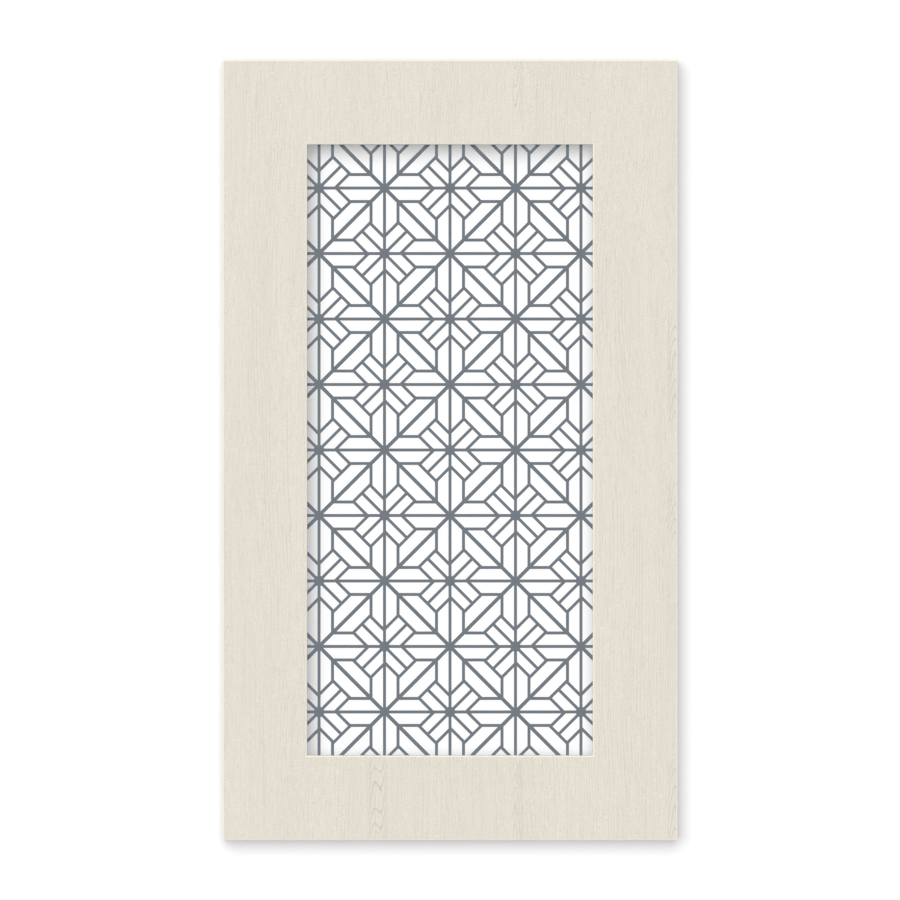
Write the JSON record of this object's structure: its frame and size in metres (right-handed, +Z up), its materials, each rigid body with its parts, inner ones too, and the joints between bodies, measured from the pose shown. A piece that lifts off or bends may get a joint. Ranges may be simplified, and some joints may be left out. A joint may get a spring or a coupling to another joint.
{
  "type": "cabinet door with metal lattice insert",
  "caption": "Framed cabinet door in pale wood-grain foil whose window holds a flat laser-cut metal lattice of interlaced stars, clipped into a rebate at the back.",
  "frame": {"origin": "centre of the door slab", "axes": "+X to the right seen from the front, +Y out of the back, +Z up; the front looks towards -Y"},
  "size_m": [0.3556, 0.0234, 0.6096],
  "materials": {
    "frame_foil": "matt wood-grain foil over fibreboard",
    "powder_coat": "matt slate grey powder coat on steel",
    "clip_nylon": "moulded natural nylon",
    "zinc_steel": "zinc plated"
  },
  "bodies": {
    "root": {"door_frame": "frame_foil", "metal_insert": "powder_coat", "retainer_clip_1": "clip_nylon", "retainer_clip_2": "clip_nylon", "retainer_clip_3": "clip_nylon", "retainer_clip_4": "clip_nylon", "retainer_clip_5": "clip_nylon", "retainer_clip_6": "clip_nylon", "retainer_screws": "zinc_steel"}
  },
  "joints": []
}
